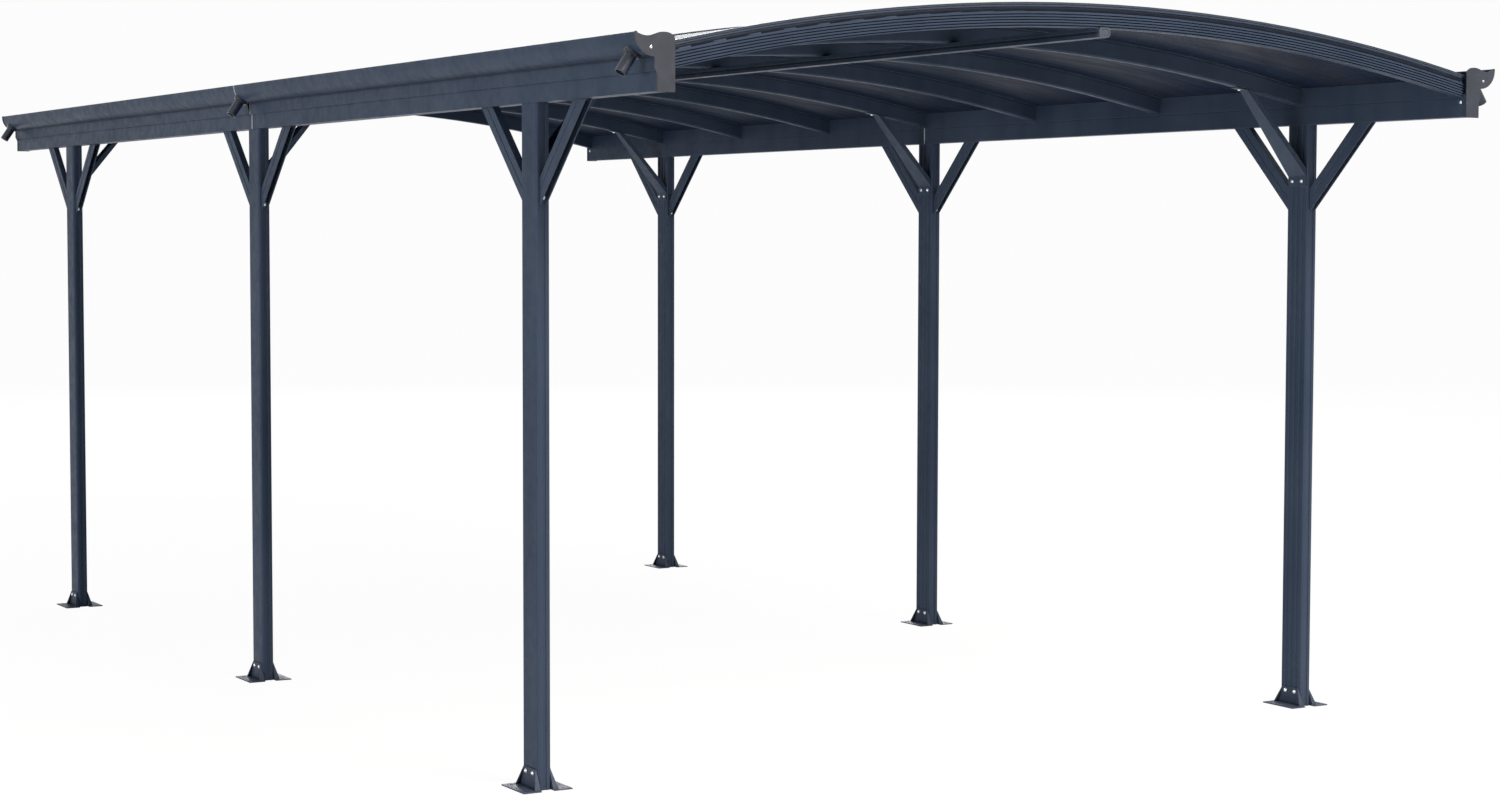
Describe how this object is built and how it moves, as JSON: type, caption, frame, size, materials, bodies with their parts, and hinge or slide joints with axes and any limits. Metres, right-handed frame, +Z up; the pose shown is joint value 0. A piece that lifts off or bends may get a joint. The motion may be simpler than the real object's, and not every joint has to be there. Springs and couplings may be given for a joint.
{
  "type": "arched roof carport",
  "caption": "Free-standing aluminium carport: arched dark roof sheets on ribs, side beams with gutters, and posts with braces on folded foot brackets.",
  "frame": {"origin": "centre of the whole carport on the ground", "axes": "+Y along the roof from the front end to the rear end, +X across to the right, +Z up"},
  "size_m": [3.3098, 6.468, 2.4091],
  "materials": {
    "frame_paint": "satin anthracite powder coat",
    "bracket_paint": "satin dark powder coat on folded steel",
    "roof_sheet": "dark smoked sheet with a soft gloss",
    "cap_plastic": "satin grey moulded plastic",
    "outlet_plastic": "gloss black moulded plastic"
  },
  "bodies": {
    "root": {"left_front_post": "frame_paint", "left_middle_post": "frame_paint", "left_rear_post": "frame_paint", "right_front_post": "frame_paint", "right_middle_post": "frame_paint", "right_rear_post": "frame_paint", "left_foot_brackets": "bracket_paint", "right_foot_brackets": "bracket_paint", "left_front_braces": "frame_paint", "left_middle_braces": "frame_paint", "left_rear_braces": "frame_paint", "right_front_braces": "frame_paint", "right_middle_braces": "frame_paint", "right_rear_braces": "frame_paint", "left_front_side_beam": "frame_paint", "left_rear_side_beam": "frame_paint", "right_front_side_beam": "frame_paint", "right_rear_side_beam": "frame_paint", "left_front_gutter": "frame_paint", "left_rear_gutter": "frame_paint", "right_front_gutter": "frame_paint", "right_rear_gutter": "frame_paint", "left_gutter_caps": "cap_plastic", "right_gutter_caps": "cap_plastic", "left_gutter_outlets": "outlet_plastic", "right_gutter_outlets": "outlet_plastic", "front_arch": "frame_paint", "rib_1": "frame_paint", "rib_2": "frame_paint", "rib_3": "frame_paint", "rib_4": "frame_paint", "rib_5": "frame_paint", "rib_6": "frame_paint", "rib_7": "frame_paint", "rear_arch": "frame_paint", "roof_sheet_1": "roof_sheet", "roof_sheet_2": "roof_sheet", "roof_sheet_3": "roof_sheet", "roof_sheet_4": "roof_sheet", "roof_sheet_5": "roof_sheet", "roof_sheet_6": "roof_sheet", "roof_sheet_7": "roof_sheet", "roof_sheet_8": "roof_sheet", "ridge_purlin": "frame_paint", "purlin_end_caps": "cap_plastic"}
  },
  "joints": []
}
